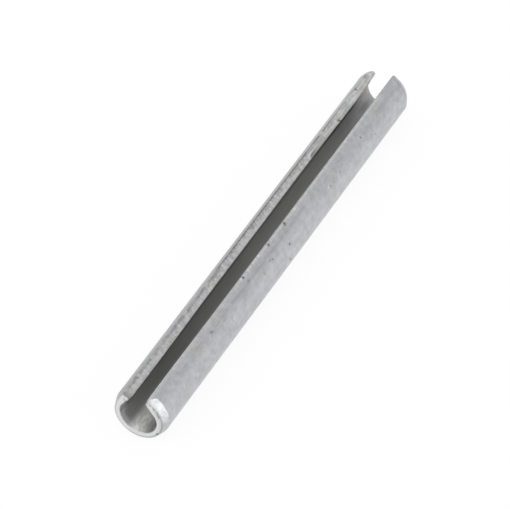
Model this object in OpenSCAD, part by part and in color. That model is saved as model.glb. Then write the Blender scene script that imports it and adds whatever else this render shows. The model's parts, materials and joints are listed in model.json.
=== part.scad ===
// Slotted spring pin, heavy pattern: one strip of spring steel rolled into a C-shaped tube, open
// along a straight slot, with a long shallow lead chamfer at each end. It lies along X, centred
// on its own axis, with the slot facing up.

/* [Tube] */
// Length over both end faces
pin_l = 80; // [20:1:160]
// Outside diameter of the free, unsqueezed pin
outer_d = 8.5; // [7.5:0.1:13]
// Thickness of the rolled strip
wall_t = 1.5; // [1.2:0.05:2]

/* [Slot] */
// Gap between the strip's two outer corners, before they are broken
slot_w = 4; // [1:0.1:5]
// Break on the four long corners of the strip's sheared edges
corner_break = 0.1; // [0.05:0.01:0.2]

/* [Ends] */
// Length of the front end's lead chamfer along the pin
front_chamfer_l = 1.35; // [0.4:0.05:3]
// Length of the back end's lead chamfer along the pin
back_chamfer_l = 1.05; // [0.4:0.05:3]
// How far a lead chamfer narrows the end, on the radius
chamfer_drop = 0.45; // [0.2:0.05:0.6]
// Step of the worn nose between a chamfer and its end face, on the radius
nose_drop = 0.18; // [0.05:0.01:0.3]
// Depth of the worn nose behind the end face
nose_l = 0.12; // [0.05:0.01:0.3]
// Break where the bore meets each end face
bore_break = 0.12; // [0.05:0.01:0.2]

/* [Hidden] */

facets = 96;
cut_margin = 1;

outer_r = outer_d / 2;
bore_r = outer_r - wall_t;
nose_r = outer_r - chamfer_drop;
face_r = nose_r - nose_drop;
slot_half_angle = asin(slot_w / outer_d);

// One end of the wall's long section as [radius, depth behind the end face], from the bore round
// the end face to the full diameter
function end_section(chamfer_l) = [
    [bore_r, bore_break],
    [bore_r + bore_break, 0],
    [face_r, 0],
    [nose_r, nose_l],
    [outer_r, chamfer_l],
];

// The same points for the other end, met in the opposite order
function turned_round(points) =
    [for (i = [len(points) - 1:-1:0]) [points[i][0], pin_l - points[i][1]]];

// A point beside the slot, with its distance out along the strip's sheared edge and its depth
// into the strip behind that edge; side is 1 or -1
function edge_point(side, out, depth) = [
    side * (out * sin(slot_half_angle) + depth * cos(slot_half_angle)),
    out * cos(slot_half_angle) - depth * sin(slot_half_angle),
];

// One flank of the slot, from inside the bore to beyond the outside, with both corners broken
function slot_flank(side) = [
    edge_point(side, bore_r - corner_break, 2 * corner_break),
    edge_point(side, bore_r + corner_break, 0),
    edge_point(side, outer_r - corner_break, 0),
    edge_point(side, outer_r + cut_margin, corner_break + cut_margin),
];

// The closed tube, turned from its long section
module rolled_tube() {
    translate([-pin_l / 2, 0, 0])
        rotate([0, 90, 0])
            rotate_extrude($fn = facets)
                polygon(concat(
                    end_section(front_chamfer_l),
                    turned_round(end_section(back_chamfer_l))
                ));
}

// The slot's cutter, wedge-shaped because the strip's sheared edges point at the axis
module slot_cutter() {
    left_flank = slot_flank(-1);
    translate([-pin_l / 2 - cut_margin, 0, 0])
        rotate([90, 0, 90])
            linear_extrude(pin_l + 2 * cut_margin)
                polygon(concat(
                    [[0, 0]],
                    slot_flank(1),
                    [[0, outer_r + 2 * cut_margin]],
                    [for (i = [len(left_flank) - 1:-1:0]) left_flank[i]]
                ));
}

module spring_pin() {
    color("#a9adad")
        difference() {
            rolled_tube();
            slot_cutter();
        }
}

spring_pin();
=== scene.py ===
# %% [markdown]
# # A slotted spring pin
# A spring pin is a strip of spring steel rolled into a tube that doesn't quite close. It is driven
# into a hole a little smaller than itself, the slot closes a little, and its own spring holds it.
# The lesson makes the pin the way a factory does: a flat strip, its ends ground thin for a lead,
# rolled round a mandrel and tumbled. Everything is written in millimetres and turned into metres
# once, in the last step of the tree.

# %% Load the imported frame
import json
import math

import bpy
from mathutils import Matrix, Vector


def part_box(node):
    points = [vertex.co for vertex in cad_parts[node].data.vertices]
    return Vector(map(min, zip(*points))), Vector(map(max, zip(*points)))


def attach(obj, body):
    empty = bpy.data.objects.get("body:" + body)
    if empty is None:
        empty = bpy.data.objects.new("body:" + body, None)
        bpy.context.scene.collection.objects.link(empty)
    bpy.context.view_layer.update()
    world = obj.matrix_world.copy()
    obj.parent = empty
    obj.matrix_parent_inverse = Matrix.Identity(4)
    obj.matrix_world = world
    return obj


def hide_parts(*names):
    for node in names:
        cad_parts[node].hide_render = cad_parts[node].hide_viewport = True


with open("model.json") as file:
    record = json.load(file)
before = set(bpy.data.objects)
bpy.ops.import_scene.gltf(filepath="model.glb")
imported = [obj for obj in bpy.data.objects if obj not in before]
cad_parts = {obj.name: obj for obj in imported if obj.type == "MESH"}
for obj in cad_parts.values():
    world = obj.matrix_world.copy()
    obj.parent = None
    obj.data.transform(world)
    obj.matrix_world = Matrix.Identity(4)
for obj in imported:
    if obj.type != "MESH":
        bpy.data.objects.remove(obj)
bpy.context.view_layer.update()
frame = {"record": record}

MM = 0.001

# %% [markdown]
# ## Sizes
# The length, the outside and the wall are read back from the frame, so the dressed pin can't
# drift away from the solid that it stands for. The smaller sizes, such as how far the ends are
# tapered, belong to the finish and are named here.

# %% Sizes of the pin
mounts = {mount["name"]: mount for mount in frame["record"]["mounts"]}
low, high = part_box("spring_pin")
LENGTH = (high.x - low.x) / MM
OUTER_R = -low.z / MM
WALL = OUTER_R - mounts["bore"]["dims"]["r_mm"]
MID_R = OUTER_R - WALL / 2
SLOT = 4.0
SLOT_HALF_ANGLE = math.asin(SLOT / 2 / OUTER_R)
STRIP_W = 2 * (math.pi - SLOT_HALF_ANGLE) * MID_R
FRONT_CHAMFER = 1.35
BACK_CHAMFER = 1.05
CHAMFER_DROP = 0.45
print("length %.2f, outside %.2f, strip %.2f wide" % (LENGTH, 2 * OUTER_R, STRIP_W))

# %% [markdown]
# ## Wires and a bench
# Geometry Nodes and shaders are both built from sums. A small class wraps a socket, so that a sum
# written in Python adds the Math nodes by itself, and one method adds every other node. Three
# shapes of fade come back all the time, so the bench names them: a ramp, a band and a spot.

# %% A socket that can be used in sums
class Wire:
    """An output socket. Sums on it add Math nodes to its tree."""

    def __init__(self, bench, socket):
        self.bench = bench
        self.socket = socket

    def __add__(self, other):
        return self.bench.maths("ADD", self, other)

    __radd__ = __add__

    def __sub__(self, other):
        return self.bench.maths("SUBTRACT", self, other)

    def __rsub__(self, other):
        return self.bench.maths("SUBTRACT", other, self)

    def __mul__(self, other):
        return self.bench.maths("MULTIPLY", self, other)

    __rmul__ = __mul__

    def __truediv__(self, other):
        return self.bench.maths("DIVIDE", self, other)

    def __rtruediv__(self, other):
        return self.bench.maths("DIVIDE", other, self)

    def __pow__(self, other):
        return self.bench.maths("POWER", self, other)

    def __neg__(self):
        return self * -1.0

    def __abs__(self):
        return self.bench.maths("ABSOLUTE", self)

    def __gt__(self, other):
        return self.bench.maths("GREATER_THAN", self, other)

    def __lt__(self, other):
        return self.bench.maths("LESS_THAN", self, other)


print("a wire can be used in sums")


# %% One method for every other node
class Bench:
    """Adds nodes to one tree and gives back their outputs as wires."""

    def __init__(self, tree):
        self.tree = tree

    def node(self, kind, settings=None, inputs=None, out=0):
        made = self.tree.nodes.new(kind)
        for name, value in (settings or {}).items():
            setattr(made, name, value)
        for key, value in (inputs or {}).items():
            if isinstance(value, Wire):
                self.tree.links.new(value.socket, made.inputs[key])
            else:
                made.inputs[key].default_value = value
        return Wire(self, made.outputs[out])

    def maths(self, operation, *values):
        return self.node("ShaderNodeMath", {"operation": operation}, dict(enumerate(values)))

    def least(self, a, b):
        return self.maths("MINIMUM", a, b)

    def most(self, a, b):
        return self.maths("MAXIMUM", a, b)

    def clamp(self, value, least, most):
        return self.node("ShaderNodeClamp", None, {0: value, 1: least, 2: most})

    def ramp(self, value, start, end, first=0.0, last=1.0, smooth=True):
        """Goes from first to last while the value goes from start to end."""
        form = "SMOOTHSTEP" if smooth else "LINEAR"
        return self.node("ShaderNodeMapRange", {"interpolation_type": form, "clamp": True},
                         {0: value, 1: start, 2: end, 3: first, 4: last})

    def band(self, value, centre, reach, core=0.0):
        """1 within the core on either side of the centre, and 0 beyond the reach."""
        return self.ramp(abs(value - centre), reach, core)

    def spot(self, at, centre, reach, core=0.0, height=1.0):
        """The same round a point: the height within the core, and 0 beyond the reach."""
        away = self.node("ShaderNodeVectorMath", {"operation": "DISTANCE"}, {0: at, 1: centre}, 1)
        return self.ramp(away, reach, core, 0.0, height)

    def xyz(self, x, y, z):
        return self.node("ShaderNodeCombineXYZ", None, {0: x, 1: y, 2: z})

    def split(self, vector):
        parts = self.node("ShaderNodeSeparateXYZ", None, {0: vector})
        outputs = parts.socket.node.outputs
        return [Wire(self, outputs[axis]) for axis in range(3)]

    def noise(self, vector, detail=2.0, rough=0.5):
        return self.node("ShaderNodeTexNoise", None,
                         {"Vector": vector, "Scale": 1.0, "Detail": detail, "Roughness": rough})

    def mix(self, factor, a, b, blend="MIX"):
        return self.node("ShaderNodeMix", {"data_type": "RGBA", "blend_type": blend},
                         {0: factor, 6: a, 7: b}, 2)

    def tint(self, colour, by):
        return self.mix(1.0, colour, by, "MULTIPLY")

    def tell(self, what):
        print(what + ":", "the tree now has", len(self.tree.nodes), "nodes")


print("wires and bench are ready")

# %% [markdown]
# ## The camera
# The pin lies with its slot up and is seen from above its front end, with a long lens from a
# little over half a metre, the camera turned a few degrees about its own line of sight. It is made
# first, so that the pieces can be looked at as they are made.

# %% Make the camera
AIM = Vector((-1.58, 1.34, -0.77)) * MM
CAMERA_TURN = math.radians(-57.79)
CAMERA_RISE = math.radians(38.73)
CAMERA_ROLL = math.radians(-8.12)
CAMERA_DISTANCE = 550.3 * MM
LENS = 264.8
SENSOR = 36.0

back = Vector((math.sin(CAMERA_TURN) * math.cos(CAMERA_RISE),
               -math.cos(CAMERA_TURN) * math.cos(CAMERA_RISE),
               math.sin(CAMERA_RISE)))
camera_data = bpy.data.cameras.new("camera")
camera_data.lens = LENS
camera_data.sensor_width = SENSOR
camera_data.clip_start = 0.01
camera_data.clip_end = 20.0
camera = bpy.data.objects.new("camera", camera_data)
bpy.context.scene.collection.objects.link(camera)
camera.rotation_mode = "QUATERNION"
camera.location = AIM + back * CAMERA_DISTANCE
level = back.to_track_quat("Z", "Y")
camera.rotation_quaternion = level @ Matrix.Rotation(CAMERA_ROLL, 3, "Z").to_quaternion()
bpy.context.scene.camera = camera
print("camera at", [round(c / MM, 1) for c in camera.location])

# %% [markdown]
# ## The rolled strip
# A tube could be lathed and cut, but then nothing on it would run the way the steel does. Here a
# flat block with many cross-lines is the strip. Its corners are broken, its ends are tapered, its
# sheared edges are roughened, and only then is it rolled. The flat place of every point is kept in
# an attribute named strip, so that the finish can follow the steel round the bend.

# %% Start the tree, with its named sizes
tree = bpy.data.node_groups.new("rolled_strip", "GeometryNodeTree")
tree.interface.new_socket("Geometry", in_out="OUTPUT", socket_type="NodeSocketGeometry")
SIZES = {
    "Length": LENGTH,
    "Strip width": STRIP_W,
    "Wall": WALL,
    "Rolling radius": MID_R,
    "Front chamfer": FRONT_CHAMFER,
    "Back chamfer": BACK_CHAMFER,
    "Chamfer drop": CHAMFER_DROP,
    "Nose length": 0.14,
    "Nose drop": 0.24,
    "Side break": 0.10,
    "Outer break": 0.11,
    "Bore break": 0.05,
    "Lip corner length": 0.46,
    "Lip corner width": 0.50,
    "Tear depth": 0.06,
    "Seed": 7.0,
}
sockets = {
    name: tree.interface.new_socket(name, in_out="INPUT", socket_type="NodeSocketFloat")
    for name in SIZES
}
bench = Bench(tree)
group_in = tree.nodes.new("NodeGroupInput")
size = {name: Wire(bench, group_in.outputs[name]) for name in SIZES}
print("the tree has", len(size), "named sizes")

# %% [markdown]
# ### The flat block
# The strip could be a grid with a Solidify modifier, but its edges and ends need cross-lines of
# their own, so a Mesh Cube node is used. It spaces its lines evenly. The detail sits at the ends,
# the lips and the side that is seen most, so each side of the block is laid out in stretches, each
# with its own number of lines and its own length.

# %% Block with cross-lines where the detail is
BLOCK_LINES = {"along": [33, 353, 33], "across": [10, 42, 29, 10], "through": [3, 6, 3]}
END_STRETCH = 2.0
LIP_STRETCH = 0.6
SEEN_STRETCH = 7.4
SKIN = 0.2
counts = [sum(lines) + 1 for lines in BLOCK_LINES.values()]
block = bench.node("GeometryNodeMeshCube", None,
                   {"Size": (2.0, 2.0, 2.0), "Vertices X": counts[0], "Vertices Y": counts[1],
                    "Vertices Z": counts[2]})
place = bench.node("GeometryNodeInputPosition")
pairs = ((0, 1), (0, 2), (1, 2))
print("block faces:", 2 * sum((counts[a] - 1) * (counts[b] - 1) for a, b in pairs))


# %% Stretch the even lines to the sizes of the strip
def spread(share, full, lines, lengths):
    """Even lines from -1 to 1 become millimetres, in stretches that are finer or coarser."""
    at, done, total = -full / 2, 0, sum(lines)
    for count, length in zip(lines, lengths):
        start = 2 * done / total - 1
        done += count
        at = at + bench.ramp(share, start, 2 * done / total - 1, 0.0, length, smooth=False)
    return at


FULL = (size["Length"], size["Strip width"], size["Wall"])
stretches = (
    [END_STRETCH, FULL[0] - 2 * END_STRETCH, END_STRETCH],
    [LIP_STRETCH, SEEN_STRETCH, FULL[1] - (SEEN_STRETCH + 2 * LIP_STRETCH), LIP_STRETCH],
    [SKIN, FULL[2] - 2 * SKIN, SKIN],
)
flat = [
    spread(share, full, lines, lengths)
    for share, full, lines, lengths in
    zip(bench.split(place), FULL, BLOCK_LINES.values(), stretches)
]
halves = [full / 2 for full in FULL]
bench.tell("stretches")


# %% Keep the flat place of every point
def store(geometry, name, value, kind="FLOAT_VECTOR"):
    return bench.node("GeometryNodeStoreNamedAttribute", {"data_type": kind, "domain": "POINT"},
                      {"Geometry": geometry, "Name": name, "Value": value})


block = store(block, "strip", bench.xyz(*flat))
kept = bench.node("GeometryNodeInputNamedAttribute", {"data_type": "FLOAT_VECTOR"}, {"Name": "strip"})
x, y, z = bench.split(kept)
bench.tell("flat place kept")

# %% Which part of the strip a point is on
outside = bench.ramp(z, -0.1, 0.1)
left = bench.ramp(y, -0.5, 0.5)
right = 1 - left
back_end = bench.ramp(x, -1.0, 1.0)
front_end = 1 - back_end
near_end = bench.ramp(abs(x), halves[0] - 0.9, halves[0] - 0.2)
bench.tell("parts of the strip")

# %% [markdown]
# ### Broken corners
# Tumbling rounds every corner of a pin a little. A Bevel modifier would round them all alike. Here
# a point beyond a smaller inner block is pulled back until it lies on an ellipsoid round that
# block, which rounds edges and corners at once, and lets the reach of the rounding wander along
# them. The noses of the ends are rounded further than the rest, because they hit the other pins
# first, and the front third of the left lip is rubbed rounder than the rest of it.

# %% How far each corner is rounded
NOSE_IN_BORE = 0.18
NOISE_STRETCH = 2.6


def wander(scale_x, scale_y, seed, detail=2.0):
    """A slow noise over the flat strip. It keeps near its middle, so it is stretched to about 1."""
    at = bench.xyz(x * scale_x, y * scale_y, size["Seed"] + seed)
    return (bench.noise(at, detail) - 0.5) * NOISE_STRETCH


rubbed_left = left * outside * bench.ramp(x, -8.0, -15.0)
outer_break = size["Outer break"] * (1 + rubbed_left)
outer_break = outer_break + (size["Nose drop"] - outer_break) * near_end
bore_break = size["Bore break"] + NOSE_IN_BORE * near_end
wear = 1 + 0.35 * wander(0.6, 0.5, 3.0)
breaks = (
    size["Nose length"] * (1 - 0.5 * back_end) * wear,
    size["Side break"] * (1 + 0.8 * rubbed_left) * wear,
    (bore_break + (outer_break - bore_break) * outside) * wear,
)
bench.tell("reach of the rounding")

# %% Pull the corners in
inner_halves = [half - reach for half, reach in zip(halves, breaks)]
core = [bench.most(bench.least(c, h), -h) for c, h in zip((x, y, z), inner_halves)]
beyond = [(c - k) / r for c, k, r in zip((x, y, z), core, breaks)]
beyond_length = (beyond[0] ** 2.0 + beyond[1] ** 2.0 + beyond[2] ** 2.0) ** 0.5
pull = 1 / bench.most(beyond_length, 1.0)
rx, ry, rz = [k + n * r * pull for k, n, r in zip(core, beyond, breaks)]
bench.tell("broken corners")

# %% [markdown]
# ### Lip corners
# Where a sheared edge meets an end, the blank's corner is dressed off as well, or it would snag in
# the hole. It could be cut off with a Boolean, but that would spoil the even cross-lines, so a
# small square at each corner of the flat strip is bent into a quarter round. The front corners are
# dressed shorter, and the back corner of the left lip was missed, so it keeps a narrow tip. The
# blank was also cut off a little askew, and that tip stands proud of the rest of the back end.

# %% Round the four corners of the blank
PROUD_TIP = 0.36
side_x = bench.maths("SIGN", x)
side_y = bench.maths("SIGN", y)
corner_l = size["Lip corner length"] * (1 - 0.9 * left * back_end) * (1 - 0.2 * right * front_end)
corner_l = corner_l * (1 - 0.3 * left * front_end)
corner_w = size["Lip corner width"]
start_x = halves[0] - corner_l
start_y = halves[1] - corner_w
in_x = bench.most((abs(rx) - start_x) / corner_l, 0.0)
in_y = bench.most((abs(ry) - start_y) / corner_w, 0.0)
in_corner = bench.least(in_x * 1e4, 1.0) * bench.least(in_y * 1e4, 1.0)
reach = bench.most(in_x, in_y) / bench.most((in_x ** 2.0 + in_y ** 2.0) ** 0.5, 1e-6)
bend = 1 + (reach - 1) * in_corner
rx = side_x * (bench.least(abs(rx), start_x) + in_x * bend * corner_l)
ry = side_y * (bench.least(abs(ry), start_y) + in_y * bend * corner_w)
askew = bench.ramp(y, halves[1] - 1.7, halves[1]) * bench.ramp(x, halves[0] - 2.6, halves[0])
rx = rx + PROUD_TIP * askew
bench.tell("lip corners")

# %% [markdown]
# ### Sheared edges
# The strip is cut from a wide coil between two round knives, which leaves leaning strokes across
# the edge about a millimetre apart. The half by the bore is cut and the outer half is torn. Noise
# alone would look too even, so the strokes are a noise laid out on leaning axes, and the boldest of
# them are placed one by one, with the few nicks and burrs that every sheared edge has. The left knife
# was chipped for the last quarter of its length, and its marks run lengthwise there behind a small
# raised hook. The finish uses the same list later, so a groove is also where its dark line is.

# %% Bold marks on the left edge: along the pin, above the middle of the wall, width and strength
EDGE_MARKS = [
    (-38.5, -0.25, 0.16, 0.8), (-37.1, 0.00, 0.12, 0.5), (-35.4, -0.10, 0.14, 0.6),
    (-34.5, 0.05, 0.12, 0.6), (-33.0, 0.15, 0.20, 0.9), (-30.9, -0.25, 0.12, 0.5),
    (-28.6, 0.35, 0.12, 1.0), (-28.1, -0.10, 0.15, 0.7), (-26.5, -0.45, 0.16, 0.8),
    (-25.9, 0.25, 0.10, 0.6), (-23.7, 0.05, 0.17, 0.8), (-21.6, -0.05, 0.16, 0.9),
    (-20.2, -0.30, 0.15, 0.8), (-17.9, -0.40, 0.18, 0.7), (-15.7, 0.20, 0.15, 0.9),
    (-14.3, -0.42, 0.22, 0.8), (-12.7, 0.00, 0.15, 0.5), (-11.5, 0.20, 0.14, 0.9),
    (-10.9, -0.30, 0.20, 0.7), (-9.85, 0.38, 0.13, 0.9), (-8.2, 0.42, 0.14, 0.5),
    (-4.8, 0.05, 0.16, 1.0), (-1.8, -0.25, 0.14, 1.0), (2.8, -0.20, 0.16, 0.6),
    (4.3, 0.30, 0.12, 0.5), (5.7, 0.38, 0.12, 0.9), (6.1, -0.05, 0.14, 0.7),
    (7.9, 0.45, 0.12, 0.9), (13.0, -0.28, 0.15, 1.0), (14.1, -0.35, 0.14, 0.7),
    (17.6, -0.34, 0.24, 1.5), (17.85, -0.02, 0.22, 1.3), (23.1, -0.08, 0.17, 1.0),
    (23.6, -0.14, 0.15, 0.8), (26.8, 0.10, 0.20, 0.8), (22.8, 0.78, 0.15, 1.0),
    (26.9, -0.42, 0.16, 0.8), (38.95, 0.12, 0.20, 1.2), (25.5, -0.30, 0.18, 0.7),
    (-39.3, 0.25, 0.45, -0.50), (-39.35, -0.30, 0.54, -0.58), (-36.0, 0.50, 0.26, -0.8),
    (-34.9, 0.50, 0.26, -0.8), (-32.1, 0.60, 0.20, -0.6), (-29.6, 0.52, 0.22, -0.6),
    (-24.3, 0.62, 0.20, -0.8), (-0.2, 0.00, 0.14, -0.5), (5.9, 0.62, 0.22, -0.8),
    (24.9, 0.45, 0.18, -0.6), (27.55, -0.44, 0.17, -1.6), (27.85, -0.60, 0.21, -2.0),
    (34.6, 0.66, 0.30, -1.8), (37.8, 0.62, 0.35, -0.6), (38.3, 0.42, 0.30, -0.4),
    (39.3, -0.22, 0.20, -0.8), (-6.9, 0.76, 0.28, -1.2), (-5.9, 0.74, 0.26, -1.2),
    (-2.0, 0.76, 0.26, -0.9), (2.2, 0.74, 0.24, -0.9), (10.5, 0.76, 0.24, -0.8),
    (-38.75, -0.05, 0.35, -0.30),
]
print(len(EDGE_MARKS), "marks on the left edge")

# %% Raised and nicked places, from the list and from the chip in the knife
LEAN = 0.5
DRAWN_OUT = 0.40
CHIP_FROM = 17.4
CHIP_FULL = 18.4


def hook(maker, along, above):
    """The ledge behind the chip in the knife: a raised lip, and the hollow that it leaves below."""
    ledge = maker.band(above, 0.05, 0.15, 0.04) * maker.ramp(along, 17.6, 17.9)
    ledge = ledge * maker.ramp(along, 19.8, 18.6)
    hollow = maker.ramp(above, -0.06, -0.20) * maker.ramp(along - 0.4 * above, 18.2, 18.5)
    return ledge, hollow * maker.ramp(along, 21.4, 18.6)


def edge_marks(maker, along, above, ragged, grow=0.0):
    """Bright marks and dark marks of the list, each drawn out along the lean of the knife."""
    at = maker.xyz(along + LEAN * above + ragged, DRAWN_OUT * above, 0.0)
    bright, dark = 0.0, 0.0
    for mark_x, mark_z, width, strength in EDGE_MARKS:
        centre = (mark_x + LEAN * mark_z, DRAWN_OUT * mark_z, 0.0)
        mark = maker.spot(at, centre, width + grow)
        if strength > 0:
            bright = mark * strength + bright
        else:
            dark = mark * -strength + dark
    ledge, hollow = hook(maker, along, above)
    return bright + 1.2 * ledge, dark + 0.55 * hollow


raised, nicked = edge_marks(bench, x, z, 0.0, 0.10)
bench.tell("marks on the edge")

# %% Leaning strokes, and the torn half
on_edge = bench.ramp(abs(y), halves[1] - 0.08, halves[1] - 0.01)
lean = x + z * (0.25 + 0.2 * wander(0.3, 0.0, 43.0))
strokes = bench.noise(bench.xyz(lean * 1.5, side_y * 9.0 + size["Seed"], z * 0.8), 3.0, 0.6)
knife = bench.noise(bench.xyz(x * 0.22, side_y * 3.0 + size["Seed"], z * 4.2), 3.0, 0.55)
blunt = left * bench.ramp(x + 0.5 * z, CHIP_FROM, CHIP_FULL)
marks = strokes + (knife - strokes) * (0.25 + 0.6 * blunt)
torn = bench.ramp(z, -0.15, 0.35)
crumbs = bench.noise(bench.xyz(x * 3.4, side_y * 2.0, z * 3.4), 2.0, 0.6)
tear_depth = size["Tear depth"] * ((marks - 0.35) * 1.5 + torn * (crumbs - 0.4))
tear_depth = tear_depth + left * (0.09 * bench.least(nicked, 1.5) - 0.04 * bench.least(raised, 1.0))
bench.tell("strokes of the knife")

# %% [markdown]
# ### The right lip
# The knife pushed the right edge out a little, most in the middle of the pin and at its front, so
# the lip swells into the slot by a few hundredths of a millimetre. Its inner corner is worn away
# where it meets the front end, and a small burr stands there. They are soft shapes, so each is a
# ramp or a spot added to the depth of the edge, which is easier to place than a piece of its own.

# %% Swell the right lip, and wear its front corner
WORN_CORNER = 0.26
BURR = 0.28
swelled = 0.012 + 0.02 * bench.band(x, 2.0, 16.0, 8.0) + 0.015 * bench.ramp(x, -26.0, -34.0)
ry = ry - side_y * on_edge * (tear_depth - right * swelled)
inner_corner = bench.ramp(z, 0.1, -halves[2]) * bench.ramp(x, 0.9 - halves[0], 0.1 - halves[0])
ry = ry + WORN_CORNER * inner_corner * bench.ramp(y, 1.2 - halves[1], -halves[1])
burr_at = bench.xyz(0.15 - halves[0], -halves[1], 0.25 - halves[2])
ry = ry - BURR * bench.spot(bench.xyz(x, y, z), burr_at, 0.20, 0.03)
bench.tell("right lip")

# %% [markdown]
# ### Lead chamfers
# Each end is ground to a long shallow cone, so that the pin finds its hole. A lathed cone would
# have a clean border, and the real border isn't one: it swings a little round the pin, and it runs
# out towards the lips, which spring away from the wheel. On the flat strip it is a taper of the
# outer face only, whose length can change round the pin. The back of the left lip was caught
# harder, and tapers to a rounded tip.

# %% Where each chamfer runs out
FRONT_RELIEF = 0.84
FRONT_LEFT_RELIEF = 0.6
BACK_RELIEF = 0.4
GROUND = OUTER_R / MID_R
from_right_lip = (halves[1] + y) * GROUND
from_left_lip = (halves[1] - y) * GROUND
from_front = rx + halves[0]
from_back = halves[0] - rx
front_relief = FRONT_RELIEF * bench.ramp(from_right_lip, 1.0, 0.0)
front_relief = front_relief + FRONT_LEFT_RELIEF * bench.ramp(from_left_lip, 1.4, 0.0)
back_relief = BACK_RELIEF * bench.ramp(from_right_lip, 1.1, 0.0)
tip = bench.ramp(from_left_lip, 2.4, 0.3)
bench.tell("reliefs by the lips")


# %% Taper both ends
def taper(depth_in, length, relief, seed):
    """1 at the end of the pin and 0 where the chamfer stops, with a border that swings."""
    swing = 0.03 * wander(0.0, 0.55, seed) + 0.025 * wander(0.0, 2.4, seed + 4.0)
    return bench.most(1 - relief + swing - depth_in / length, 0.0)


front_taper = taper(from_front, size["Front chamfer"], front_relief, 11.0)
back_taper = taper(from_back, size["Back chamfer"] * (1 + 0.8 * tip), back_relief, 23.0)
back_taper = (1 + 0.15 * tip) * back_taper ** (1 + 1.9 * tip)
share_out = (rz + halves[2]) / size["Wall"]
rz = rz - size["Chamfer drop"] * (front_taper + back_taper) * share_out
bench.tell("lead chamfers")

# %% [markdown]
# ### Flats and a pinched lip
# The lips are the last part to be bent and stay a little flat, which shows inside the bore. The
# rolls also pinched the left lip thinner from the middle to the back, and thinner still at both of
# its ends. At the front the rim of the bore is opened by a tenth of a millimetre or so, most on the
# left. A truer bend of the whole strip would move the outside as well, so only the inner face is
# moved, by a share that fades out through the wall.

# %% Flats inside the bore
FLAT_RIGHT = 0.15
FLAT_LEFT = 0.07
flats = FLAT_RIGHT * bench.band(from_right_lip, 2.4, 1.9) + FLAT_LEFT * bench.band(from_left_lip, 1.5, 1.5)
bench.tell("flats")

# %% The pinched left lip and the opened rim
pinched = bench.ramp(x, -32.0, -12.0, -0.04, 0.115) + 0.06 * bench.band(x, 17.0, 15.0, 6.0)
pinched = pinched - 0.05 * bench.ramp(x, 22.0, 28.0)
pinched = pinched * bench.ramp(from_left_lip, 0.8, 0.0)
pinched = pinched + 0.20 * bench.ramp(from_back, 2.6, 0.0) * bench.ramp(from_left_lip, 1.0, 0.0)
pinched = pinched + 0.14 * bench.ramp(from_front, 1.5, 0.2) * bench.ramp(from_left_lip, 3.0, 0.5)
opened = 0.10 + 0.05 * bench.band(from_left_lip, 5.0, 3.5, 2.0)
opened = opened * bench.ramp(from_front, 1.0, 0.1) * bench.ramp(from_left_lip, 1.2, 2.4)
opened = opened * bench.ramp(from_right_lip, 3.5, 6.0)
rz = rz + (pinched + opened - flats) * (1 - share_out)
bench.tell("pinched lip and opened rim")

# %% [markdown]
# ### Dimples and pits
# The outside is dimpled by tumbling against other pins, which is a slow noise of a hundredth of a
# millimetre. It also has a few deeper pits. A noise could scatter those too, but they are few and
# each is seen, so they stand in a list. Their depth is kept in an attribute named pits, because
# dirt gathers in them and the finish has to find them again.

# %% Tumble the outside
DIMPLES = 0.010
FINE_DIMPLES = 0.004
tumbled = DIMPLES * wander(0.45, 0.6, 31.0, 3.0) + FINE_DIMPLES * wander(2.2, 2.6, 37.0)
rz = rz + tumbled * share_out
bench.tell("dimples")

# %% Pits: along the pin from the middle, round from the right lip, radius and depth
PITS = [
    (-11.4, 0.35, 0.34, 0.09), (-11.2, 1.25, 0.26, 0.07), (-23.1, 1.45, 0.30, 0.07),
    (-22.7, 1.60, 0.24, 0.05), (-5.4, 1.98, 0.24, 0.05), (-4.9, 2.20, 0.24, 0.08),
    (-3.4, 0.40, 0.34, 0.08), (-3.6, 0.52, 0.26, 0.03), (-5.6, 1.92, 0.20, 0.05),
    (1.8, 0.38, 0.34, 0.10), (-7.9, 2.55, 0.22, 0.06), (-0.15, 3.00, 0.28, 0.10),
    (-0.9, 5.25, 0.30, 0.09), (1.6, 0.62, 0.28, 0.06), (11.2, 1.50, 0.24, 0.03),
    (13.8, 2.70, 0.24, 0.06), (15.0, 2.80, 0.26, 0.04), (17.2, 2.50, 0.26, 0.05),
    (25.1, 1.80, 0.34, 0.06), (28.4, 3.50, 0.28, 0.05), (-30.5, 4.00, 0.22, 0.04),
    (-13.0, 9.0, 0.34, 0.07), (20.5, 11.5, 0.38, 0.07), (6.0, 14.0, 0.30, 0.06),
    (-33.0, 12.5, 0.34, 0.07), (31.5, 8.0, 0.30, 0.06), (-20.0, 17.5, 0.30, 0.06),
]
round_at = bench.xyz(x, from_right_lip, 0.0)
pit_depth = 0.0
for pit_x, pit_round, pit_radius, depth in PITS:
    pit_depth = bench.spot(round_at, (pit_x, pit_round, 0.0), pit_radius, 0.0, depth) + pit_depth
pit_depth = pit_depth * bench.ramp(z, halves[2] - 0.06, halves[2] - 0.01)
rz = rz - pit_depth
block = store(block, "pits", pit_depth, "FLOAT")
print(len(PITS), "pits")

# %% [markdown]
# ### Rolling
# The width runs round the pin and the thickness becomes the radius. The middle of the strip ends
# up at the bottom and the two sheared edges face each other across the slot at the top. A Curve
# modifier could bend the strip, but a sine and a cosine keep the radius exact.

# %% Roll the strip round the mandrel
angle = ry / size["Rolling radius"]
radius = size["Rolling radius"] + rz
rolled = bench.xyz(rx * MM,
                   radius * bench.maths("SINE", angle) * MM,
                   radius * bench.maths("COSINE", angle) * -MM)
shape = bench.node("GeometryNodeSetPosition", None, {"Geometry": block, "Position": rolled})
shape = bench.node("GeometryNodeSetShadeSmooth", None, {"Geometry": shape, "Shade Smooth": True})
bench.tell("rolled strip")

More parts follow.
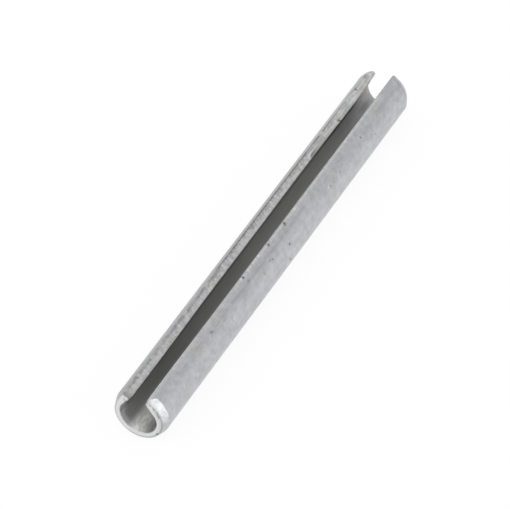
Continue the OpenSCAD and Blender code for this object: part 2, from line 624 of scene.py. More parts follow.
# %% [markdown]
# ### From the tree to a plain mesh
# The tree ends by making every part of it real and giving it the steel, so that nothing stays a
# mere reference. Its sizes are set on the modifier by the identifiers of their sockets, before it
# runs for the first time. The modifier could stay on the pin, but it would run again at every
# change, so its result is copied once to a plain mesh, and the modifier is taken off.

# %% Give the tree its ending
pin_steel = bpy.data.materials.new("pin_steel")
pin_steel.use_nodes = True
shape = bench.node("GeometryNodeRealizeInstances", None, {"Geometry": shape})
shape = bench.node("GeometryNodeSetMaterial", None, {"Geometry": shape, "Material": pin_steel})
group_out = tree.nodes.new("NodeGroupOutput")
tree.links.new(shape.socket, group_out.inputs[0])

pin = bpy.data.objects.new("pin", bpy.data.meshes.new("pin"))
bpy.context.scene.collection.objects.link(pin)
maker = pin.modifiers.new("rolled_strip", "NODES")
maker.node_group = tree
for name, value in SIZES.items():
    maker[sockets[name].identifier] = value
bench.tell("finished strip")

# %% Turn the result into a plain mesh
depsgraph = bpy.context.evaluated_depsgraph_get()
pin_mesh = bpy.data.meshes.new_from_object(pin.evaluated_get(depsgraph),
                                           preserve_all_data_layers=True, depsgraph=depsgraph)
pin.modifiers.remove(maker)
pin.data = pin_mesh
pin_mesh.name = "pin"
print("pin mesh:", len(pin_mesh.vertices), "points,", len(pin_mesh.polygons), "faces,",
      [a.name for a in pin_mesh.attributes])

# %% Hand the pin to the frame
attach(pin, "root")
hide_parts("spring_pin")
print("the pin rides on root, in place of the solid spring_pin")

# %% [markdown]
# ## The steel
# One piece of steel has four finishes here: the tumbled outside, the torn edges of the strip, the
# duller bore that no tumbling media reaches, and the rubbed ends. Each could be a material of its
# own, but their borders are soft, so one material mixes them. The flat place tells them apart: a
# mask is 1 where a finish is and 0 elsewhere, with a narrow fade between. Each finish is a mix of
# a dark and a light tone by patterns of its own.

# %% Where each finish is
steel = Bench(pin_steel.node_tree)
pin_steel.node_tree.nodes.clear()
strip = steel.node("ShaderNodeAttribute", {"attribute_name": "strip"}, None, 1)
pits = steel.node("ShaderNodeAttribute", {"attribute_name": "pits"}, None, 2)
sx, sy, sz = steel.split(strip)
HALF_L = LENGTH / 2
HALF_W = STRIP_W / 2
HALF_T = WALL / 2
right_lip = (sy + HALF_W) * GROUND
left_lip = (HALF_W - sy) * GROUND
from_lip = steel.least(right_lip, left_lip)
from_end = HALF_L - abs(sx)
left_side = steel.ramp(sy, -0.5, 0.5)
right_side = 1 - left_side
front = steel.ramp(sx, 1.0, -1.0)
mask_edge = steel.ramp(from_lip, 0.07, 0.02)
mask_bore = steel.ramp(sz, -HALF_T + 0.10, -HALF_T + 0.02)
mask_face = steel.ramp(from_end, 0.05, 0.01) * steel.ramp(sz, -HALF_T + 0.08, -HALF_T + 0.24)
print("finish masks read", strip.socket.node.attribute_name, "and", pits.socket.node.attribute_name)


# %% Patterns laid out on the flat strip
def pattern(scale_x, scale_y, scale_z, seed, detail=2.0, rough=0.5):
    """A noise whose cells are stretched along, round and through the strip."""
    at = steel.xyz(sx * scale_x, right_lip * scale_y, sz * scale_z + seed)
    return steel.noise(at, detail, rough)


streaks = pattern(0.05, 1.1, 1.0, 3.0, 3.0)
clouds = pattern(0.33, 0.45, 1.0, 17.0, 3.0, 0.6)
mottle = pattern(0.95, 1.1, 1.0, 23.0, 3.0, 0.6)
grain = pattern(2.6, 2.6, 2.6, 29.0, 3.0, 0.65)
fine = pattern(8.0, 8.0, 8.0, 41.0, 2.0, 0.6)
violet = steel.ramp(pattern(0.34, 0.45, 0.5, 53.0, 2.0), 0.35, 0.65)
olive = steel.ramp(pattern(0.28, 0.40, 0.5, 59.0, 2.0), 0.42, 0.70)


def breathe(colour):
    """Steel is never quite neutral: a slow drift between teal and violet, and from blue to olive."""
    colour = steel.tint(colour, steel.mix(violet, (0.986, 1.0, 0.994, 1), (1.006, 0.991, 1.003, 1)))
    return steel.tint(colour, steel.mix(olive, (0.998, 0.998, 1.012, 1), (1.0, 1.0, 0.960, 1)))


steel.tell("patterns")

# %% [markdown]
# ### Outside
# Tumbled steel is matte and cool grey. One flat grey would look like plastic. The real one has
# faint lengthwise bands from the rolls, clouds and a fine grain from the tumbling, and a broken
# dark line beside the slot where the strip's edge ran against a roll. Each is a pattern of its own
# size, and all of them add up to one tone between a dark and a light grey.

# %% Tone of the outside
OUTSIDE_DARK = (0.437, 0.444, 0.463, 1)
OUTSIDE_LIGHT = (0.598, 0.606, 0.626, 1)
tone = 0.5 + 0.5 * (streaks - 0.5) + 0.6 * (clouds - 0.5) + 1.6 * (mottle - 0.5)
tone = tone + 0.7 * (grain - 0.5) + 0.6 * (fine - 0.5)
stripe = steel.band(right_lip + 0.6 * (clouds - 0.5), 1.35, 0.55)
tone = tone - 0.26 * stripe * steel.ramp(sx, -27.0, -12.0) * steel.ramp(sx, 14.0, 4.0)
tone = tone - 0.24 * steel.band(right_lip, 2.3, 1.5, 0.5) * steel.ramp(sx, 4.0, 18.0)
wavy = pattern(0.12, 0.0, 1.0, 37.0, 3.0, 0.6)
breaks_off = pattern(0.20, 0.1, 1.0, 47.0, 3.0, 0.7)
roll_line = steel.band(right_lip + 1.6 * (wavy - 0.5), 1.3, 0.22, 0.04)
tone = tone - 0.30 * roll_line * steel.ramp(breaks_off, 0.46, 0.60)
tone = tone + 0.20 * steel.ramp(right_lip, 1.2, 0.5) * steel.ramp(sx, -2.0, -24.0, 0.4, 1.0)
outside_grey = steel.mix(steel.clamp(tone, 0.0, 1.0), OUTSIDE_DARK, OUTSIDE_LIGHT)
steel.tell("tone of the outside")

# %% [markdown]
# ### Wear beside the slot
# The strip beside the left lip stays dull, because it lay against the feed of the rolls. The corner
# of the right lip is rubbed to a thin light line that fades towards the front, with a few chips
# where bare metal shows. A few light scratches come from other pins. Lines and spots this fine
# don't need any mesh, so they are mixed into the colour only.

# %% Dull left side and rubbed right lip
DULL_AND_SHADE = (0.2, 0.2, 0.2, 1)
RUBBED = (0.90, 0.90, 0.89, 1)
left_dull = 0.2 * steel.ramp(sx, 26.0, 8.0) + 0.12 * steel.ramp(sx, -38.2, -38.7)
left_dull = left_dull * steel.ramp(left_lip, 2.2, 1.2)
outside_grey = steel.mix(left_dull, outside_grey, DULL_AND_SHADE)
rubbed_part = steel.ramp(sx, -24.0, 2.0, 0.55, 1.0) * steel.ramp(grain, 0.36, 0.56, 0.3, 1.0)
rubbed_lip = steel.band(right_lip, 0.28, 0.30, 0.08) * rubbed_part
rubbed_lip = rubbed_lip * steel.ramp(sx, 35.5, 33.0)
outside_grey = steel.mix(0.35 * rubbed_lip, outside_grey, RUBBED)
steel.tell("wear beside the slot")

# %% Chips in the right lip: along the pin, round from the lip, and radius
LIP_CHIPS = [
    (-9.70, 0.24, 0.34), (-8.93, 0.22, 0.26), (-8.0, 0.22, 0.36), (-7.27, 0.14, 0.24),
    (-6.35, 0.20, 0.34), (-11.9, 0.24, 0.28), (5.2, 0.30, 0.28), (22.3, 0.34, 0.30),
]
BARE_METAL = (0.92, 0.92, 0.86, 1)
CHIP_SQUASH = 0.7
chip_at = steel.xyz(CHIP_SQUASH * sx, right_lip, 0.0)
chip = 0.0
for chip_x, chip_round, radius in LIP_CHIPS:
    chip = steel.spot(chip_at, (CHIP_SQUASH * chip_x, chip_round, 0.0), radius, 0.05) + chip
outside_grey = steel.mix(0.45 * chip, outside_grey, BARE_METAL)
print(len(LIP_CHIPS), "chips in the right lip")

# %% Light scratches: along the pin, round from the right lip, and half their length
SCRATCHES = [
    (-18.9, 3.2, 0.5), (-18.4, 3.5, 0.6), (-17.9, 3.0, 0.4), (-16.4, 2.8, 0.3), (-33.3, 3.2, 0.3),
    (-11.9, 0.5, 0.4), (-8.9, 0.35, 0.4), (13.4, 2.4, 0.4), (22.3, 0.7, 0.3), (16.6, 2.3, 0.3),
    (-9.8, 0.6, 0.4), (-8.1, 0.5, 0.4), (-7.2, 0.4, 0.4), (-25.6, 1.9, 0.3), (30.5, 1.6, 0.3),
    (-28.0, 9.5, 0.6), (4.0, 8.0, 0.5), (24.0, 13.0, 0.6), (-6.0, 16.0, 0.5),
]
SCRATCHED = (0.82, 0.82, 0.81, 1)
SLANT = 0.8
SQUASH = 0.30
scratch_at = steel.xyz(sx + SLANT * right_lip + 0.10 * (fine - 0.5), SQUASH * right_lip, 0.0)
scratch = 0.0
for scratch_x, scratch_round, half in SCRATCHES:
    centre = (scratch_x + SLANT * scratch_round, SQUASH * scratch_round, 0.0)
    scratch = steel.spot(scratch_at, centre, 0.34 * half) + scratch
scratch = scratch * steel.ramp(grain, 0.35, 0.6)
outside_grey = steel.mix(0.80 * scratch, outside_grey, SCRATCHED)
print(len(SCRATCHES), "light scratches")

# %% [markdown]
# ### Stains, dirt and specks
# Oil has dried to two brown stains beside the slot, the front end has a breath of teal, and dirt
# sits in the pits. Tiny dark and light specks are scattered over the rest. They are too small and
# too many to list, so they are the cells of a Voronoi texture, and the colour of a cell says
# whether it holds a dark speck, a light one or none.

# %% Stains and dark pits
TEAL = (0.965, 1.0, 0.99, 1)
STAIN = (0.34, 0.33, 0.27, 1)
PIT_DIRT = (0.09, 0.09, 0.095, 1)


def patch_at(along, round_it, squash, reach, core):
    """A soft patch that is longer along the pin than round it."""
    return steel.ramp(abs(sx - along) * squash + abs(right_lip - round_it), reach, core)


outside_grey = breathe(outside_grey)
stain = patch_at(-8.5, 0.7, 0.4, 1.3, 0.2) + 0.8 * patch_at(-13.8, 1.8, 0.5, 1.3, 0.2)
stain = stain * steel.ramp(mottle, 0.34, 0.54, 0.4, 1.0)
teal = patch_at(-37.5, 2.2, 0.35, 2.2, 0.5)
outside_grey = steel.mix(teal, outside_grey, steel.tint(outside_grey, TEAL))
outside_grey = steel.mix(0.22 * stain, outside_grey, STAIN)
pit_dark = steel.least(15.0 * pits, 1.0)
outside_grey = steel.mix(0.85 * pit_dark, outside_grey, PIT_DIRT)
steel.tell("stains and pits")

# %% Sparse specks that are too small to model
SPECK_DARK = (0.17, 0.17, 0.18, 1)
SPECK_LIGHT = (0.75, 0.75, 0.75, 1)
specks = steel.node("ShaderNodeTexVoronoi", {"feature": "F1"},
                    {"Vector": steel.xyz(sx, right_lip, sz), "Scale": 0.55, "Randomness": 1.0})
speck_colour = Wire(steel, specks.socket.node.outputs["Color"])
chosen, lightness, _ = steel.split(speck_colour)
speck = steel.ramp(specks + 0.03 * (fine - 0.5), 0.07, 0.03) * (chosen > 0.6)
outside_grey = steel.mix(0.35 * speck * (lightness > 0.4), outside_grey, SPECK_DARK)
outside_grey = steel.mix(0.4 * speck * (lightness < 0.2), outside_grey, SPECK_LIGHT)
steel.tell("specks")

# %% [markdown]
# ### Sheared edges
# The half that the knife cut is light and crossed by leaning strokes. The half that tore is
# duller, with brownish spots where old scale and oil sit. Behind the chip in the knife the strokes
# run lengthwise instead. The tones could be painted on the edge, but the strokes have to agree with
# the mesh, so the same lean, the same chip and the same list of marks are used again.

# %% Strokes of the knife
ragged = 0.12 * (grain - 0.5) + 0.06 * (fine - 0.5)
lean_here = 0.20 + 0.9 * (pattern(0.3, 0.0, 0.0, 43.0, 2.0) - 0.5)
edge_lean = sx + lean_here * sz + ragged
edge_strokes = steel.noise(steel.xyz(edge_lean * 1.7, left_side * 9.0, sz * 1.1 + 7.0), 4.0, 0.65)
edge_fine = steel.noise(steel.xyz(edge_lean * 4.5, left_side * 5.0, sz * 2.4), 2.0, 0.6)
edge_lines = steel.noise(steel.xyz(sx * 0.22, left_side * 3.0, sz * 4.2 + 5.0), 3.0, 0.55)
edge_blunt = steel.ramp(sx + 0.5 * sz, CHIP_FROM, CHIP_FULL) * left_side
edge_mark = steel.ramp(edge_strokes, 0.34, 0.66, smooth=False) * 0.7 + edge_fine * 0.5
edge_line = steel.ramp(edge_lines, 0.34, 0.66, smooth=False)
edge_tone = edge_mark + (edge_line - edge_mark) * (0.1 + 0.7 * edge_blunt)
steel.tell("strokes on the edges")

# %% Torn half, lighter bore side and the ends of the left edge
left_tip = left_side * steel.ramp(sx, 34.8, 36.4)
torn_half = steel.ramp(sz, -0.15, 0.45) * (1 - 0.6 * edge_blunt - 0.4 * left_tip)
edge_tone = edge_tone - 0.26 * torn_half * (0.6 + 0.8 * grain)
edge_tone = edge_tone + (1.0 - 0.4 * edge_blunt) * (mottle - 0.5)
bore_side = (0.22 - 0.16 * edge_blunt) * steel.ramp(sz, -0.05, -0.45)
edge_tone = edge_tone + bore_side * steel.ramp(sx, -38.5, -29.0, 0.45, 1.0)
edge_tone = edge_tone - 0.26 * left_side * steel.ramp(sx, 36.4, 38.2) * steel.ramp(sz, 0.35, -0.05)
edge_tone = edge_tone - 0.12 * left_side * steel.band(sx, 33.2, 2.2, 0.8) * steel.ramp(sz, -0.1, 0.2)
edge_tone = edge_tone + steel.ramp(sx, 22.0, 27.0, 0.0, 0.10) - steel.ramp(sx, 33.0, 36.5, 0.0, 0.22)
edge_tone = 0.55 + (edge_tone - 0.55) * steel.ramp(sx, -24.0, -14.0, 0.78, 1.0)
steel.tell("halves of the edges")

# %% Grey of the edges, with the bold marks
EDGE_DARK = (0.42, 0.415, 0.41, 1)
EDGE_LIGHT = (0.90, 0.905, 0.915, 1)
EDGE_LIGHT_BLUNT = (0.885, 0.90, 0.875, 1)
OLD_SCALE = (0.26, 0.235, 0.215, 1)
BRIGHT_MARK = (1.0, 1.0, 0.995, 1)
DARK_MARK = (0.17, 0.165, 0.14, 1)
bright_marks, dark_marks = edge_marks(steel, sx, sz, ragged)
bright_marks = steel.least(bright_marks * left_side, 1.0)
dark_marks = steel.least(dark_marks * left_side, 1.0)
edge_tone = steel.clamp(edge_tone + 0.25 * bright_marks, 0.0, 1.0)
edge_grey = steel.mix(edge_tone, EDGE_DARK, steel.mix(edge_blunt, EDGE_LIGHT, EDGE_LIGHT_BLUNT))
scale_spots = steel.ramp(grain, 0.52, 0.68) * torn_half
edge_grey = breathe(steel.mix(0.45 * scale_spots, edge_grey, OLD_SCALE))
edge_grey = steel.mix(0.5 * bright_marks, edge_grey, BRIGHT_MARK)
edge_grey = steel.mix(0.75 * dark_marks, edge_grey, DARK_MARK)
steel.tell("grey of the edges")

# %% [markdown]
# ### Lines along the outer corners
# Oil creeps into the outer corner of each edge and dries as a thin line. On the right edge it is
# grey towards the back, and rubbed off to a light line at the front. On the left edge it is sharp
# in the middle of the pin, broken near the back, and smeared over the edge at the front. Each line
# is a band that follows the corner, broken up by a noise along it.

# %% Line along the right corner
CORNER_OIL = (0.24, 0.24, 0.235, 1)
CORNER_RUBBED = (0.92, 0.92, 0.915, 1)
corner_line = steel.ramp(sz, HALF_T - 0.26, HALF_T - 0.06) * right_side
edge_grey = steel.mix(0.5 * corner_line * steel.ramp(sx, -34.0, -10.0), edge_grey, CORNER_OIL)
edge_grey = steel.mix(0.8 * corner_line * steel.ramp(sx, -20.0, -36.0), edge_grey, CORNER_RUBBED)
steel.tell("line along the right corner")

# %% Line of oil along the left corner
breaks_up = pattern(0.5, 0.0, 0.0, 61.0, 4.0, 0.7)
sharp_part = steel.ramp(sx, -13.0, -9.5) * steel.ramp(sx, 34.0, 22.0, 0.2, 1.0)
sharp_part = sharp_part * steel.ramp(sx, 35.8, 34.8) + 0.5 * steel.band(sx, 37.9, 0.7, 0.3)
sharp_part = sharp_part * (1 - steel.band(sx, 22.8, 0.7, 0.3))
sharp_line = steel.ramp(abs(sz - HALF_T) + abs(left_lip - 0.10), 0.32, 0.14) * sharp_part
sharp_line = sharp_line * steel.ramp(breaks_up + 0.5 * (grain - 0.5), 0.36, 0.56, 0.5, 1.0)
smear_at = HALF_T - 0.19 + 0.5 * (pattern(0.8, 0.0, 0.0, 67.0, 2.0) - 0.5)
smeared = steel.band(sz, smear_at, 0.42, 0.04) * steel.ramp(sx, -9.5, -13.0)
smeared = smeared * steel.ramp(breaks_up + 0.3 * (grain - 0.5), 0.30, 0.62, 0.15, 1.0) * mask_edge
oil = steel.least(0.85 * sharp_line + 0.50 * smeared, 1.0) * left_side
steel.tell("oil along the left corner")

# %% [markdown]
# ### Bore
# The bore keeps the mill's own dull skin, drawn out into lengthwise lines. A narrow tube is dark
# inside by itself, and painted shade darkens the skin further on the left wall towards the front and
# on both walls near the back, where a faint heat tint and one blot lie too. An old run of oil follows
# the left wall from end to end. The bottom of the front opening is painted lighter, as painted light
# that falls in there, the right wall at the front has painted shade, and a lighter patch lies by the
# left wall. All of it is colour, because a bore this deep shows its form only at the mouth.

# %% Mill skin, and painted shade on the walls
BORE_DARK = (0.40, 0.40, 0.387, 1)
BORE_LIGHT = (0.60, 0.60, 0.585, 1)
SOOT_AND_SHADE = (0.02, 0.02, 0.02, 1)
HEAT_TINT = (0.985, 0.98, 1.015, 1)
bore_grey = steel.mix(pattern(0.12, 3.2, 0.0, 71.0, 3.0, 0.6), BORE_DARK, BORE_LIGHT)
# Painted shade inside the tube: darker on the left wall towards the front and on both walls near the back.
left_wall = steel.ramp(sy, 1.8, 3.4) * steel.ramp(sx, -4.0, -32.0)
far_wall = steel.ramp(sx, 24.0, 33.0) * steel.ramp(sy, 3.0, 6.0, 0.45, 1.0)
dull = 0.24 * left_wall + 0.26 * far_wall * steel.ramp(mottle, 0.3, 0.7, 1.3, 0.7)
dull = dull * (1 - steel.ramp(from_end, 1.2, 0.2))
bore_grey = steel.mix(dull, bore_grey, SOOT_AND_SHADE)
heated = steel.ramp(sx, 26.0, 35.0)
bore_grey = steel.tint(bore_grey, steel.mix(heated, (1, 1, 1, 1), HEAT_TINT))
steel.tell("skin of the bore")

# %% Oil in the bore
BLOT = (0.05, 0.05, 0.05, 1)
BLOT_PLACE = (37.0, 3.4)
BLOT_SQUASH = (0.35, 0.7)
oil_line = steel.band(sy, 5.8, 0.50, 0.12) * steel.ramp(sx, 36.4, 34.0)
oil_line = oil_line * steel.ramp(sx, 20.0, 28.0, 0.5, 1.0)
bore_grey = steel.mix(0.75 * oil_line, bore_grey, SOOT_AND_SHADE)
blot_at = steel.xyz(BLOT_SQUASH[0] * sx, BLOT_SQUASH[1] * sy, 0.0)
blot_centre = (BLOT_SQUASH[0] * BLOT_PLACE[0], BLOT_SQUASH[1] * BLOT_PLACE[1], 0.0)
bore_grey = steel.mix(0.35 * steel.spot(blot_at, blot_centre, 0.8, 0.1), bore_grey, BLOT)
steel.tell("oil in the bore")

# %% Front opening: painted light, painted shade and a lighter patch
PAINTED_BORE_LIGHT = (1.0, 1.0, 0.975, 1)
BORE_SHADE = (0.1, 0.1, 0.1, 1)
LIFTED = (1.0, 1.0, 0.99, 1)
# Painted light on the bottom of the front opening, where light falls in, broken into lengthwise streaks.
lit_streaks = pattern(0.75, 1.4, 0.0, 83.0, 3.0, 0.65) * 0.8 + grain * 0.2
lit_streaks = steel.ramp(lit_streaks, 0.36, 0.64)
lit_bottom = steel.band(sy, 0.9, 2.15, 0.6) * steel.ramp(sx, -32.0, -39.0)
bore_grey = steel.mix(lit_bottom * (0.40 + 0.60 * lit_streaks), bore_grey, PAINTED_BORE_LIGHT)
# Painted shade on the right wall at the front.
bore_grey = steel.mix(0.4 * front * steel.ramp(sy, -1.2, -2.0), bore_grey, BORE_SHADE)
lifted = front * steel.band(left_lip, 4.4, 1.2, 0.3) * steel.band(from_end, 1.1, 0.9, 0.3)
bore_grey = breathe(steel.mix(0.16 * lifted, bore_grey, LIFTED))
steel.tell("front opening")

# %% [markdown]
# ### End faces
# The end faces are cut last, so they are the brightest steel on the pin. They aren't even: the
# right half has a little painted shade, a crescent by the left lip has a painted highlight, and the
# inner border is darker by both lips of the front. By its right lip the front face has a warm
# painted highlight and holds a few dark crumbs of scale. A shallow groove follows its lower right,
# with one nick in it, both as painted shade. They could be cut into the mesh, but all of it is less
# than a tenth of a millimetre deep, so it is colour only.

# %% Tone of the end faces
FACE_DARK = (0.60, 0.605, 0.61, 1)
FACE_LIGHT = (0.78, 0.785, 0.79, 1)
CRESCENT_HIGHLIGHT = (0.88, 0.88, 0.88, 1)
face_tone = steel.clamp(grain + 0.4 * (fine - 0.5), 0.0, 1.0)
face_grey = steel.mix(face_tone, FACE_DARK, FACE_LIGHT)
right_half = steel.ramp(right_lip, 8.0, 6.0)
# Painted shade on the right half of the face.
face_grey = steel.mix(0.16 * right_half * steel.ramp(sz, -0.25, 0.05), face_grey, DULL_AND_SHADE)
# A painted highlight on a crescent by the left lip.
crescent_highlight = steel.ramp(left_lip, 2.6, 1.0) * steel.ramp(sz, 0.0, 0.2)
face_grey = steel.mix(0.25 * crescent_highlight, face_grey, CRESCENT_HIGHLIGHT)
# Darker along the inner border by both lips of the front.
inner_border_dark = steel.ramp(left_lip, 1.0, 0.3) + 0.55 * steel.ramp(right_lip, 2.0, 0.8)
inner_border_dark = inner_border_dark * front * steel.ramp(sz, 0.34, 0.0)
face_grey = steel.mix(0.28 * inner_border_dark, face_grey, BORE_SHADE)
steel.tell("tone of the end faces")

# %% Crumbs of scale on the front face: round from the right lip, above the middle, and radius
FACE_SPOTS = [
    (0.75, 0.42, 0.24), (1.74, 0.44, 0.34), (2.60, 0.50, 0.30), (3.15, 0.36, 0.34),
    (3.50, 0.34, 0.30),
]
CRUMB = (0.27, 0.27, 0.27, 1)
CREAM_HIGHLIGHT = (0.92, 0.915, 0.88, 1)
FACE_SQUASH = 0.7
crumb_at = steel.xyz(FACE_SQUASH * right_lip, sz + 0.06 * (fine - 0.5), 0.0)
crumb = 0.0
for spot_round, spot_z, radius in FACE_SPOTS:
    crumb = steel.spot(crumb_at, (FACE_SQUASH * spot_round, spot_z, 0.0), radius, 0.06) + crumb
crumb = steel.least(crumb, 1.0) * front
face_grey = steel.mix(0.75 * crumb, face_grey, CRUMB)
# A warm painted highlight on the front face by the right lip.
cream_highlight = steel.band(right_lip, 1.0, 1.1, 0.4) * steel.band(sz, 0.02, 0.46, 0.16)
cream_highlight = cream_highlight * (1 - crumb) * front
face_grey = steel.mix(0.42 * cream_highlight, face_grey, CREAM_HIGHLIGHT)
print(len(FACE_SPOTS), "crumbs of scale on the front face")

# %% Painted shade of a groove and a nick in the front face
NICK_PLACE = (7.64, 0.28, 0.0)
NICK_OFFSET = 2.29
NICK_SHADE = (0.14, 0.14, 0.135, 1)
# Painted shade stands for the shallow groove and its nick, which are not in the mesh.
groove_shade = steel.band(sz, steel.ramp(right_lip, 6.8, 8.0, 0.52, 0.34), 0.24, 0.06)
groove_shade = groove_shade * steel.ramp(right_lip, 4.0, 6.0)
face_grey = steel.mix(0.34 * groove_shade * steel.ramp(left_lip, 7.5, 9.5), face_grey, DULL_AND_SHADE)
nick_at = steel.xyz(FACE_SQUASH * right_lip + NICK_OFFSET, FACE_SQUASH * sz, 0.0)
nick_shade = steel.spot(nick_at, NICK_PLACE, 0.28, 0.08) * front
face_grey = steel.mix(0.6 * nick_shade, face_grey, NICK_SHADE)
steel.tell("groove and nick")

# %% [markdown]
# ### Noses and chamfers
# The rounded nose between each face and its chamfer is darker than both, which is painted shade
# where the form turns. The chamfer itself is bright from the right lip of the front down its side,
# partly where the wheel pressed hardest and partly as a painted highlight. Elsewhere it is nearly as
# grey as the outside, and at the back only a thin dark border shows where it starts. The same
# chamfer lengths and reliefs as in the tree place the colours, so they stay on the form when a size
# changes.

# %% Painted shade on the noses
NOSE_SHADE = (0.28, 0.275, 0.28, 1)
nose_from = steel.ramp(right_lip, 6.8, 8.0, 0.43, 0.32)
nose_shade = steel.ramp(sz - nose_from, 0.0, 0.12) * steel.ramp(from_end, 0.24, 0.12) * (1 - mask_edge)
nose_shade = nose_shade * steel.ramp(left_lip, 0.8, 4.0, 0.5, 1.0) * steel.ramp(right_lip, 1.6, 3.2, 0.3, 1.0)
face_grey = steel.mix(nose_shade * (0.35 + 0.3 * right_half), face_grey, NOSE_SHADE)
steel.tell("worn noses")

# %% Bright ring of the chamfers
RING_DARK = (0.64, 0.645, 0.65, 1)
RING_LIGHT = (0.88, 0.885, 0.89, 1)
RING_PLAIN = (0.6, 0.6, 0.6, 1)
ring_length = BACK_CHAMFER + (FRONT_CHAMFER - BACK_CHAMFER) * front
ring_relief = (FRONT_RELIEF * front + BACK_RELIEF * (1 - front)) * steel.ramp(right_lip, 1.0, 0.0)
ring_reach = ring_length * (1.0 - ring_relief + 0.14 * (mottle - 0.5) + 0.10 * (grain - 0.5))
outer_skin = steel.ramp(sz, 0.2, 0.5)
on_ring = steel.ramp(from_end, ring_reach + 0.01, ring_reach - 0.06) * outer_skin
# Bright from the right lip of the front down its side: partly where the wheel pressed hardest, partly a
# painted highlight.
pressed_and_lit = front * steel.ramp(right_lip, 5.3, 3.6) * steel.ramp(right_lip, 0.10, 0.60)
ring_tone = steel.clamp(0.5 + 2.4 * (grain - 0.5) + 1.6 * (mottle - 0.5), 0.0, 1.0)
bright_ring = steel.mix(ring_tone, RING_DARK, RING_LIGHT)
ring_fade = steel.ramp(from_end, 0.55, 0.25) * steel.ramp(right_lip, 3.0, 2.0)
bright_ring = steel.mix(0.16 * ring_fade, bright_ring, DULL_AND_SHADE)
ring_grey = steel.mix(pressed_and_lit, steel.mix(0.15, outside_grey, RING_PLAIN), bright_ring)
steel.tell("bright ring")

# %% [markdown]
# ### All the finishes
# The masks lay one finish over another, from the widest to the smallest, as real wear does. Three
# small places get a tone of their own at the front: the dressed corner of the right lip, painted
# shade under the rim of the bore by the left lip, and painted shade on the nose where it turns into
# the chamfer.

# %% Put the finishes together
BORDER = (0.30, 0.285, 0.32, 1)
OIL = (0.19, 0.18, 0.165, 1)
border = steel.band(from_end, ring_reach, 0.20, 0.04) * (1 - front) * outer_skin
border = border * steel.ramp(grain, 0.3, 0.6, 0.6, 1.0) * right_side
colour = steel.mix(mask_bore, outside_grey, bore_grey)
colour = steel.mix(on_ring, colour, ring_grey)
colour = steel.mix(0.65 * border, colour, BORDER)
colour = steel.mix(mask_edge, colour, edge_grey)
colour = steel.mix(oil, colour, OIL)
steel.tell("finishes together")

# %% Small places at the front
DRESSED = (0.58, 0.58, 0.58, 1)
NOSE_TURN_SHADE = (0.34, 0.335, 0.34, 1)
dressed = front * right_side * mask_edge * steel.ramp(from_end, 0.60, 0.35)
dressed = dressed * steel.ramp(sz, -0.3, 0.2)
colour = steel.mix(0.7 * dressed, colour, DRESSED)
colour = steel.mix(mask_face, colour, face_grey)
rim_shade = front * steel.ramp(left_lip, 4.4, 2.8) * steel.ramp(sz, -0.42, -0.58)
rim_shade = rim_shade * steel.ramp(from_end, 1.0, 0.5)
colour = steel.mix(0.32 * rim_shade, colour, SOOT_AND_SHADE)
# Painted shade on the nose where it turns into the chamfer.
colour = steel.mix(0.55 * nose_shade * (1 - mask_face), colour, NOSE_TURN_SHADE)
# Painted shade of the nick once more, over the nose.
colour = steel.mix(0.5 * nick_shade * steel.ramp(from_end, 0.4, 0.1), colour, NICK_SHADE)
steel.tell("small places at the front")

# %% [markdown]
# ### Gloss and fine relief
# Roughness rises where the steel is torn and falls where it is rubbed. The bore and the edges are
# less metallic, because scale and oil lie on them. A Bump node adds only what is finer than the
# mesh: the grain of the tumbled skin and the finest strokes.

# %% Shader
BUMP_HEIGHT = 0.04 * MM
rough = 0.47 + 0.10 * (grain - 0.5) + 0.10 * mask_edge + 0.06 * mask_bore - 0.06 * mask_face
relief = grain * 0.5 + fine * 0.5 - pit_dark * 0.6
relief = relief + mask_edge * (edge_mark - 0.5) * 0.8
bump = steel.node("ShaderNodeBump", None, {"Strength": 0.35, "Distance": BUMP_HEIGHT, "Height": relief})
metal = 1 - 0.45 * mask_bore - 0.3 * mask_edge
surface = steel.node("ShaderNodeBsdfPrincipled", None,
                     {"Base Color": colour, "Roughness": rough, "Metallic": metal, "Normal": bump})
ending = steel.tree.nodes.new("ShaderNodeOutputMaterial")
steel.tree.links.new(surface.socket, ending.inputs[0])
steel.tell("steel")

# %% [markdown]
# ## Floor and light
# A white floor in a white room, with one broad soft lamp, as a small part is shown in a catalogue.
# A plain white floor would turn grey under the lamp. So the floor glows evenly to the eye and in
# reflections, and lets just enough of its matte side through to show the shadow.

# %% Floor paint
GLOW_SHARE = 0.85
GLOW = 1.04
floor_paint = bpy.data.materials.new("floor_white")
floor_paint.use_nodes = True
paint = Bench(floor_paint.node_tree)
floor_paint.node_tree.nodes.clear()
seen = paint.node("ShaderNodeLightPath")
mirrored = Wire(paint, seen.socket.node.outputs["Is Glossy Ray"])
through = Wire(paint, seen.socket.node.outputs["Is Transmission Ray"])
shown = paint.most(seen * GLOW_SHARE, paint.most(mirrored, through))
matte = paint.node("ShaderNodeBsdfDiffuse", None, {"Color": (0.9, 0.9, 0.9, 1)})
glow = paint.node("ShaderNodeEmission", None, {"Color": (1, 1, 1, 1), "Strength": GLOW})
both = paint.node("ShaderNodeMixShader", None, {0: shown, 1: matte, 2: glow})
paint_end = paint.tree.nodes.new("ShaderNodeOutputMaterial")
paint.tree.links.new(both.socket, paint_end.inputs[0])
paint.tell("floor paint")

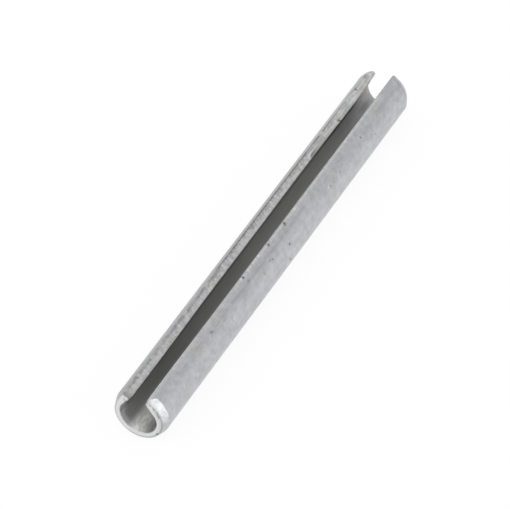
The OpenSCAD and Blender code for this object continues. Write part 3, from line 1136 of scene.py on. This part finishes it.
# %% Floor
FLOOR_HALF = 1.5
floor_mesh = bpy.data.meshes.new("floor")
floor_z = min(v.co.z for v in pin_mesh.vertices)
corners = [(-FLOOR_HALF, -FLOOR_HALF), (FLOOR_HALF, -FLOOR_HALF),
           (FLOOR_HALF, FLOOR_HALF), (-FLOOR_HALF, FLOOR_HALF)]
floor_mesh.from_pydata([(cx, cy, floor_z) for cx, cy in corners], [], [(0, 1, 2, 3)])
floor_mesh.materials.append(floor_paint)
floor = bpy.data.objects.new("floor", floor_mesh)
bpy.context.scene.collection.objects.link(floor)
print("floor at %.3f mm" % (floor_z / MM))

# %% Room
SKY_LOW = 1.0
SKY_HIGH = 0.86
SKY_BACK = 0.12
SKY_TOP = 0.45
room = bpy.data.worlds.new("room")
room.use_nodes = True
bpy.context.scene.world = room
air = Bench(room.node_tree)
room.node_tree.nodes.clear()
ray = air.node("ShaderNodeLightPath")
direction = air.node("ShaderNodeTexCoord")
to_back, _, height = air.split(direction)
daylight = air.ramp(height, 0.0, SKY_TOP, SKY_LOW, SKY_HIGH) - SKY_BACK * to_back
strength = daylight + (1 - daylight) * ray
sky = air.node("ShaderNodeBackground", None, {"Color": (1, 1, 1, 1), "Strength": strength})
air_end = air.tree.nodes.new("ShaderNodeOutputWorld")
air.tree.links.new(sky.socket, air_end.inputs[0])
air.tell("room")

# %% Lamp
KEY_PLACE = Vector((-120, -600, 200))
KEY_SIZE = (400, 300)
KEY_POWER = 0.5
key_data = bpy.data.lights.new("key", "AREA")
key_data.shape = "RECTANGLE"
key_data.size = KEY_SIZE[0] * MM
key_data.size_y = KEY_SIZE[1] * MM
key_data.energy = KEY_POWER
key = bpy.data.objects.new("key", key_data)
bpy.context.scene.collection.objects.link(key)
key.location = KEY_PLACE * MM
key.rotation_euler = KEY_PLACE.to_track_quat("Z", "Y").to_euler()
print("lamp at", [round(c, 2) for c in key.location], "m, aimed at the middle of the pin")

# %% [markdown]
# ## Last lines
# The Standard view keeps white white and the greys as they were mixed, where a filmic one would
# bend both.

# %% Colour management
bpy.context.scene.view_settings.view_transform = "Standard"
print("view transform:", bpy.context.scene.view_settings.view_transform)
